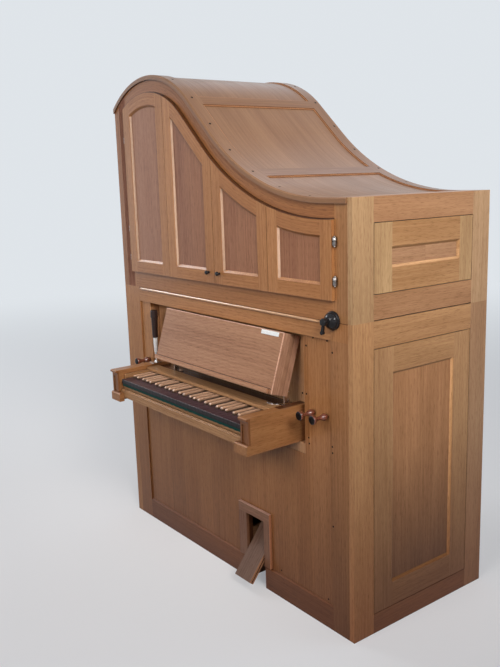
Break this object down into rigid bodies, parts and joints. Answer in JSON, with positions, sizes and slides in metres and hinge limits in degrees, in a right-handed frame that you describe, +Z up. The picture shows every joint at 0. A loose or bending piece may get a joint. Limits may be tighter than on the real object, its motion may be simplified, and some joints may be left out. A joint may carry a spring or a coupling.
{
  "type": "pipe organ",
  "caption": "Small oak pipe organ with an ogee roof, folding upper doors, a projecting key desk with music desk, draw stops, a blower switch and a swell pedal.",
  "frame": {"origin": "on the floor at the middle of the case's front face", "axes": "+X to the right as the player sits, +Y from the player into the case, +Z up"},
  "size_m": [1.36, 0.832, 1.828],
  "materials": {
    "oak": "clear-varnished oak, satin",
    "oak_light": "clear-varnished oak, lit side, satin",
    "oak_roof": "clear-varnished oak, satin",
    "oak_raw": "plain oak inside the case",
    "natural_key": "dark oiled hardwood",
    "sharp_key": "light pear wood, satin",
    "stop_wood": "turned rosewood, polished",
    "felt": "green felt",
    "black_gloss": "black, glossy",
    "chrome": "chrome plate",
    "white": "white, smooth"
  },
  "bodies": {
    "case": {"lower_front_frame": "oak", "lower_front_panel": "oak", "lower_side_right": "oak_light", "lower_side_left": "oak", "lower_back": "oak_raw", "base_board": "oak_raw", "upper_front_frame": "oak", "upper_side_right": "oak_light", "upper_side_left": "oak", "upper_back": "oak_raw", "right_panels": "oak_light", "right_fields": "oak_light", "left_panels": "oak_raw", "roof_frame": "oak_roof", "roof_fields": "oak_roof", "door_leaf_1": "oak", "door_leaf_2": "oak", "door_leaf_3": "oak", "door_leaf_4": "oak", "door_fields": "oak", "door_hinges": "chrome", "door_knobs": "black_gloss", "recess_lining": "oak_raw", "desk_cheeks": "oak_light", "desk_bed": "oak", "key_rail": "oak_light", "felt_strip": "felt", "naturals": "natural_key", "sharps": "sharp_key", "key_batten": "oak_light", "desk_shelf": "black_gloss", "music_desk": "oak", "desk_fittings": "chrome", "name_plate": "white", "lamp_foot": "chrome", "lamp_neck": "white", "lamp_shade": "black_gloss", "switch_base": "black_gloss", "pedal_trim": "oak", "pedal_bearers": "oak_raw", "pedal_axle": "chrome"},
    "stop_a": {"stop_knob_1": "stop_wood"},
    "stop_b": {"stop_knob_2": "stop_wood"},
    "stop_c": {"stop_knob_3": "stop_wood"},
    "switch": {"switch_handle": "black_gloss"},
    "pedal": {"swell_pedal": "oak"}
  },
  "joints": [
    {"name": "stop_a_draw", "type": "slide", "parent": "case", "child": "stop_a", "axis": [0, -1, 0], "range_m": [0, 0.02]},
    {"name": "stop_b_draw", "type": "slide", "parent": "case", "child": "stop_b", "axis": [0, -1, 0], "range_m": [0, 0.02]},
    {"name": "stop_c_draw", "type": "slide", "parent": "case", "child": "stop_c", "axis": [0, -1, 0], "range_m": [0, 0.02]},
    {"name": "switch_turn", "type": "hinge", "parent": "case", "child": "switch", "pos_m": [0.598, -0.03, 1.017], "axis": [0, 1, 0], "range_deg": [0, 90]},
    {"name": "pedal_rock", "type": "hinge", "parent": "case", "child": "pedal", "pos_m": [0.1865, 0.033, 0.125], "axis": [1, 0, 0], "range_deg": [-30, 0]}
  ]
}
